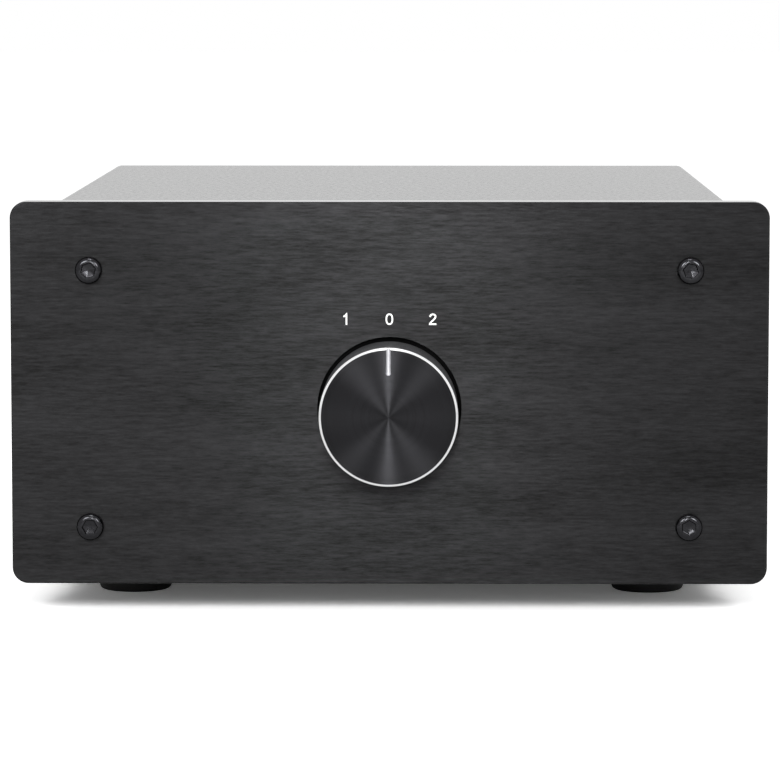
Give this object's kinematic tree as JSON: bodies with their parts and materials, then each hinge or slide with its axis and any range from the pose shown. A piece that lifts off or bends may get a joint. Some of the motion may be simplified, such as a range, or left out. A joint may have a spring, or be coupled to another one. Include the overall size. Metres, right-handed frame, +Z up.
{
  "type": "speaker selector switch",
  "caption": "Desktop box with a thick front panel and one rotary knob that switches screw binding posts on its back.",
  "frame": {"origin": "on the surface that the feet stand on, under the middle of the overall length and width", "axes": "+Z up; the front panel and knob face -Y, the binding posts point to +Y; +X to the right seen from the front"},
  "size_m": [0.15, 0.247, 0.082],
  "materials": {
    "panel_aluminium": "black anodised, brushed lengthways",
    "knob_aluminium": "black anodised, turned, with a diamond-cut rim",
    "painted_steel": "satin black powder coat",
    "black_screw_steel": "black oxide",
    "foot_rubber": "matt moulded rubber",
    "zinc_steel": "bright zinc plate",
    "spring_steel": "rolled",
    "die_cast_alloy": "as cast",
    "nickel_brass": "nickel plated",
    "wafer_laminate": "phenolic paper laminate",
    "rotor_plastic": "moulded",
    "silvered_brass": "silver plated",
    "spacer_aluminium": "drawn tube",
    "gold_brass": "gold plated",
    "tinned_brass": "tinned",
    "red_plastic": "moulded",
    "black_plastic": "moulded",
    "red_wire": "soft insulation",
    "black_wire": "soft insulation"
  },
  "bodies": {
    "chassis": {"front_panel": "panel_aluminium", "panel_screws": "black_screw_steel", "base_tray": "painted_steel", "top_cover": "painted_steel", "cover_screws": "black_screw_steel", "rubber_feet": "foot_rubber", "foot_screws": "zinc_steel", "m3_nuts": "zinc_steel", "switch_plate": "die_cast_alloy", "bushing_nut": "nickel_brass", "lock_washer": "zinc_steel", "detent_spring": "spring_steel", "front_wafer": "wafer_laminate", "rear_wafer": "wafer_laminate", "switch_contacts": "silvered_brass", "wafer_spacers": "spacer_aluminium", "tie_rods": "zinc_steel", "tie_rod_nuts": "zinc_steel", "post_collars_red": "red_plastic", "post_collars_black": "black_plastic", "post_studs": "gold_brass", "post_insulators": "black_plastic", "post_nuts": "nickel_brass", "solder_tags": "tinned_brass", "wires_red": "red_wire", "wires_black": "black_wire"},
    "selector": {"selector_knob": "knob_aluminium", "knob_set_screw": "black_screw_steel", "switch_shaft": "zinc_steel", "shaft_clip": "spring_steel", "detent_wheel": "zinc_steel", "front_rotor": "rotor_plastic", "rear_rotor": "rotor_plastic", "front_blades": "silvered_brass", "rear_blades": "silvered_brass"},
    "source1_left_plus_washer": {"source1_left_plus_washer": "gold_brass"},
    "source1_left_plus_cap": {"source1_left_plus_cap": "red_plastic"},
    "source1_left_minus_washer": {"source1_left_minus_washer": "gold_brass"},
    "source1_left_minus_cap": {"source1_left_minus_cap": "black_plastic"},
    "source1_right_plus_washer": {"source1_right_plus_washer": "gold_brass"},
    "source1_right_plus_cap": {"source1_right_plus_cap": "red_plastic"},
    "source1_right_minus_washer": {"source1_right_minus_washer": "gold_brass"},
    "source1_right_minus_cap": {"source1_right_minus_cap": "black_plastic"},
    "speaker_left_plus_washer": {"speaker_left_plus_washer": "gold_brass"},
    "speaker_left_plus_cap": {"speaker_left_plus_cap": "red_plastic"},
    "speaker_left_minus_washer": {"speaker_left_minus_washer": "gold_brass"},
    "speaker_left_minus_cap": {"speaker_left_minus_cap": "black_plastic"},
    "speaker_right_plus_washer": {"speaker_right_plus_washer": "gold_brass"},
    "speaker_right_plus_cap": {"speaker_right_plus_cap": "red_plastic"},
    "speaker_right_minus_washer": {"speaker_right_minus_washer": "gold_brass"},
    "speaker_right_minus_cap": {"speaker_right_minus_cap": "black_plastic"},
    "source2_left_plus_washer": {"source2_left_plus_washer": "gold_brass"},
    "source2_left_plus_cap": {"source2_left_plus_cap": "red_plastic"},
    "source2_left_minus_washer": {"source2_left_minus_washer": "gold_brass"},
    "source2_left_minus_cap": {"source2_left_minus_cap": "black_plastic"},
    "source2_right_plus_washer": {"source2_right_plus_washer": "gold_brass"},
    "source2_right_plus_cap": {"source2_right_plus_cap": "red_plastic"},
    "source2_right_minus_washer": {"source2_right_minus_washer": "gold_brass"},
    "source2_right_minus_cap": {"source2_right_minus_cap": "black_plastic"}
  },
  "joints": [
    {"name": "selector_turn", "type": "hinge", "parent": "chassis", "child": "selector", "pos_m": [0, -0.1066, 0.041], "axis": [0, 1, 0], "range_deg": [-30, 30], "deforming": ["detent_spring"]},
    {"name": "source1_left_plus_travel", "type": "slide", "parent": "chassis", "child": "source1_left_plus_washer", "axis": [0, 1, 0], "range_m": [0, 0.005]},
    {"name": "source1_left_plus_turn", "type": "hinge", "parent": "source1_left_plus_washer", "child": "source1_left_plus_cap", "pos_m": [-0.0535, 0.1137, 0.0525], "axis": [0, 1, 0], "range_deg": [0, 1440]},
    {"name": "source1_left_minus_travel", "type": "slide", "parent": "chassis", "child": "source1_left_minus_washer", "axis": [0, 1, 0], "range_m": [0, 0.005]},
    {"name": "source1_left_minus_turn", "type": "hinge", "parent": "source1_left_minus_washer", "child": "source1_left_minus_cap", "pos_m": [-0.0535, 0.1137, 0.0335], "axis": [0, 1, 0], "range_deg": [0, 1440]},
    {"name": "source1_right_plus_travel", "type": "slide", "parent": "chassis", "child": "source1_right_plus_washer", "axis": [0, 1, 0], "range_m": [0, 0.005]},
    {"name": "source1_right_plus_turn", "type": "hinge", "parent": "source1_right_plus_washer", "child": "source1_right_plus_cap", "pos_m": [-0.0345, 0.1137, 0.0525], "axis": [0, 1, 0], "range_deg": [0, 1440]},
    {"name": "source1_right_minus_travel", "type": "slide", "parent": "chassis", "child": "source1_right_minus_washer", "axis": [0, 1, 0], "range_m": [0, 0.005]},
    {"name": "source1_right_minus_turn", "type": "hinge", "parent": "source1_right_minus_washer", "child": "source1_right_minus_cap", "pos_m": [-0.0345, 0.1137, 0.0335], "axis": [0, 1, 0], "range_deg": [0, 1440]},
    {"name": "speaker_left_plus_travel", "type": "slide", "parent": "chassis", "child": "speaker_left_plus_washer", "axis": [0, 1, 0], "range_m": [0, 0.005]},
    {"name": "speaker_left_plus_turn", "type": "hinge", "parent": "speaker_left_plus_washer", "child": "speaker_left_plus_cap", "pos_m": [-0.0095, 0.1137, 0.0525], "axis": [0, 1, 0], "range_deg": [0, 1440]},
    {"name": "speaker_left_minus_travel", "type": "slide", "parent": "chassis", "child": "speaker_left_minus_washer", "axis": [0, 1, 0], "range_m": [0, 0.005]},
    {"name": "speaker_left_minus_turn", "type": "hinge", "parent": "speaker_left_minus_washer", "child": "speaker_left_minus_cap", "pos_m": [-0.0095, 0.1137, 0.0335], "axis": [0, 1, 0], "range_deg": [0, 1440]},
    {"name": "speaker_right_plus_travel", "type": "slide", "parent": "chassis", "child": "speaker_right_plus_washer", "axis": [0, 1, 0], "range_m": [0, 0.005]},
    {"name": "speaker_right_plus_turn", "type": "hinge", "parent": "speaker_right_plus_washer", "child": "speaker_right_plus_cap", "pos_m": [0.0095, 0.1137, 0.0525], "axis": [0, 1, 0], "range_deg": [0, 1440]},
    {"name": "speaker_right_minus_travel", "type": "slide", "parent": "chassis", "child": "speaker_right_minus_washer", "axis": [0, 1, 0], "range_m": [0, 0.005]},
    {"name": "speaker_right_minus_turn", "type": "hinge", "parent": "speaker_right_minus_washer", "child": "speaker_right_minus_cap", "pos_m": [0.0095, 0.1137, 0.0335], "axis": [0, 1, 0], "range_deg": [0, 1440]},
    {"name": "source2_left_plus_travel", "type": "slide", "parent": "chassis", "child": "source2_left_plus_washer", "axis": [0, 1, 0], "range_m": [0, 0.005]},
    {"name": "source2_left_plus_turn", "type": "hinge", "parent": "source2_left_plus_washer", "child": "source2_left_plus_cap", "pos_m": [0.0345, 0.1137, 0.0525], "axis": [0, 1, 0], "range_deg": [0, 1440]},
    {"name": "source2_left_minus_travel", "type": "slide", "parent": "chassis", "child": "source2_left_minus_washer", "axis": [0, 1, 0], "range_m": [0, 0.005]},
    {"name": "source2_left_minus_turn", "type": "hinge", "parent": "source2_left_minus_washer", "child": "source2_left_minus_cap", "pos_m": [0.0345, 0.1137, 0.0335], "axis": [0, 1, 0], "range_deg": [0, 1440]},
    {"name": "source2_right_plus_travel", "type": "slide", "parent": "chassis", "child": "source2_right_plus_washer", "axis": [0, 1, 0], "range_m": [0, 0.005]},
    {"name": "source2_right_plus_turn", "type": "hinge", "parent": "source2_right_plus_washer", "child": "source2_right_plus_cap", "pos_m": [0.0535, 0.1137, 0.0525], "axis": [0, 1, 0], "range_deg": [0, 1440]},
    {"name": "source2_right_minus_travel", "type": "slide", "parent": "chassis", "child": "source2_right_minus_washer", "axis": [0, 1, 0], "range_m": [0, 0.005]},
    {"name": "source2_right_minus_turn", "type": "hinge", "parent": "source2_right_minus_washer", "child": "source2_right_minus_cap", "pos_m": [0.0535, 0.1137, 0.0335], "axis": [0, 1, 0], "range_deg": [0, 1440]}
  ],
  "couplings": [
    {"joint": "source1_left_plus_turn", "follows": "source1_left_plus_travel", "rad_per_m": 5026.5},
    {"joint": "source1_left_minus_turn", "follows": "source1_left_minus_travel", "rad_per_m": 5026.5},
    {"joint": "source1_right_plus_turn", "follows": "source1_right_plus_travel", "rad_per_m": 5026.5},
    {"joint": "source1_right_minus_turn", "follows": "source1_right_minus_travel", "rad_per_m": 5026.5},
    {"joint": "speaker_left_plus_turn", "follows": "speaker_left_plus_travel", "rad_per_m": 5026.5},
    {"joint": "speaker_left_minus_turn", "follows": "speaker_left_minus_travel", "rad_per_m": 5026.5},
    {"joint": "speaker_right_plus_turn", "follows": "speaker_right_plus_travel", "rad_per_m": 5026.5},
    {"joint": "speaker_right_minus_turn", "follows": "speaker_right_minus_travel", "rad_per_m": 5026.5},
    {"joint": "source2_left_plus_turn", "follows": "source2_left_plus_travel", "rad_per_m": 5026.5},
    {"joint": "source2_left_minus_turn", "follows": "source2_left_minus_travel", "rad_per_m": 5026.5},
    {"joint": "source2_right_plus_turn", "follows": "source2_right_plus_travel", "rad_per_m": 5026.5},
    {"joint": "source2_right_minus_turn", "follows": "source2_right_minus_travel", "rad_per_m": 5026.5}
  ]
}
